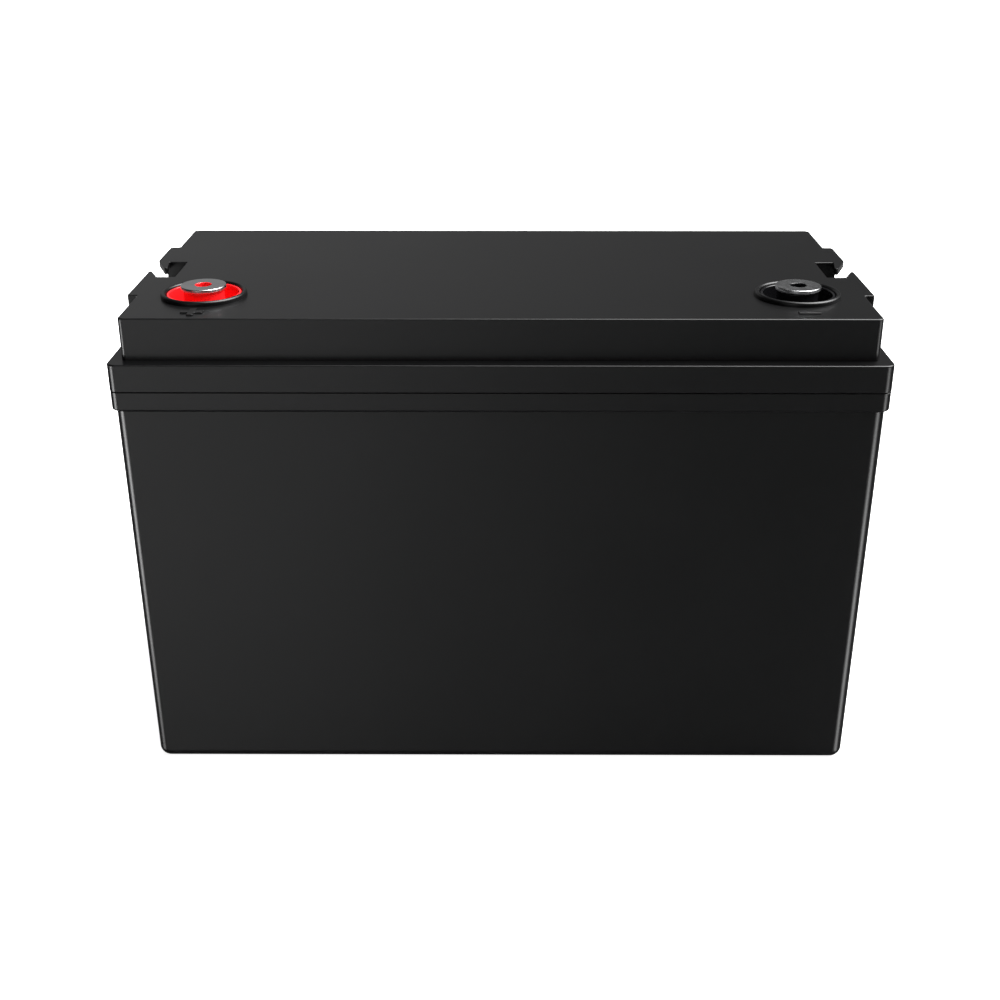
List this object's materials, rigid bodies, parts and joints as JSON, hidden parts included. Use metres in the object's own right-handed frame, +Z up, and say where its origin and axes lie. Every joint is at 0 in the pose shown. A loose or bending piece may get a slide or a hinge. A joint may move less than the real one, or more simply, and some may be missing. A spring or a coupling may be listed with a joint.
{
  "type": "battery pack",
  "caption": "Sealed lithium battery pack in a black lidded case, with recessed red and black bolt-down terminals, hooked strap slots at both ends, and cells and electronics inside.",
  "frame": {"origin": "centre of the whole pack's box in plan, on the surface that the case stands on", "axes": "+Z up; +X along the case, from the positive terminal's end to the negative one's; -Y is the long side next to the terminals"},
  "size_m": [0.33, 0.172, 0.2205],
  "materials": {
    "case_plastic": "fine satin moulding",
    "seal_rubber": "matt",
    "red_plastic": "gloss",
    "black_plastic": "gloss",
    "terminal_metal": "fine turned, plated",
    "tinned_copper": "dull tin",
    "zinc_steel": "bright zinc",
    "cell_wrap": "satin film",
    "aluminium": "satin",
    "copper": "bright rolled copper",
    "fibre_board": "glass-fibre epoxy sheet",
    "strap_plastic": "embossed packing strap",
    "foam": "closed-cell foam",
    "circuit_board": "solder mask",
    "connector_plastic": "natural nylon",
    "red_cable": "silicone jacket",
    "blue_cable": "silicone jacket",
    "black_cable": "silicone jacket"
  },
  "bodies": {
    "root": {"case_tub": "case_plastic", "case_lid": "case_plastic", "lid_seal": "seal_rubber", "positive_terminal_cup": "red_plastic", "positive_terminal_insert": "terminal_metal", "positive_terminal_seal": "seal_rubber", "positive_terminal_lug": "tinned_copper", "positive_terminal_washer": "zinc_steel", "positive_terminal_nut": "zinc_steel", "negative_terminal_cup": "black_plastic", "negative_terminal_insert": "terminal_metal", "negative_terminal_seal": "seal_rubber", "negative_terminal_lug": "tinned_copper", "negative_terminal_washer": "zinc_steel", "negative_terminal_nut": "zinc_steel", "cell_1": "cell_wrap", "cell_2": "cell_wrap", "cell_3": "cell_wrap", "cell_4": "cell_wrap", "cell_1_positive_post": "aluminium", "cell_2_positive_post": "aluminium", "cell_3_positive_post": "aluminium", "cell_4_positive_post": "aluminium", "cell_1_negative_post": "copper", "cell_2_negative_post": "copper", "cell_3_negative_post": "copper", "cell_4_negative_post": "copper", "cell_spacer_1": "fibre_board", "cell_spacer_2": "fibre_board", "cell_spacer_3": "fibre_board", "busbar_1_2": "copper", "busbar_2_3": "copper", "busbar_3_4": "copper", "busbar_cover_board": "fibre_board", "end_plate_left": "fibre_board", "end_plate_right": "fibre_board", "stack_strap_lower": "strap_plastic", "stack_strap_upper": "strap_plastic", "floor_pad": "foam", "foam_front": "foam", "foam_back": "foam", "foam_left": "foam", "foam_right": "foam", "positive_takeoff_bar": "copper", "positive_takeoff_lug": "tinned_copper", "positive_takeoff_screw": "zinc_steel", "positive_takeoff_nut": "zinc_steel", "negative_takeoff_bar": "copper", "negative_takeoff_lug": "tinned_copper", "negative_takeoff_screw": "zinc_steel", "negative_takeoff_nut": "zinc_steel", "bms_board": "circuit_board", "bms_heat_sink": "aluminium", "bms_backing_pad": "foam", "balance_connector": "connector_plastic", "balance_harness": "black_cable", "temperature_probe": "connector_plastic", "positive_main_lead": "red_cable", "stack_to_bms_lead": "blue_cable", "negative_main_lead": "black_cable"}
  },
  "joints": []
}
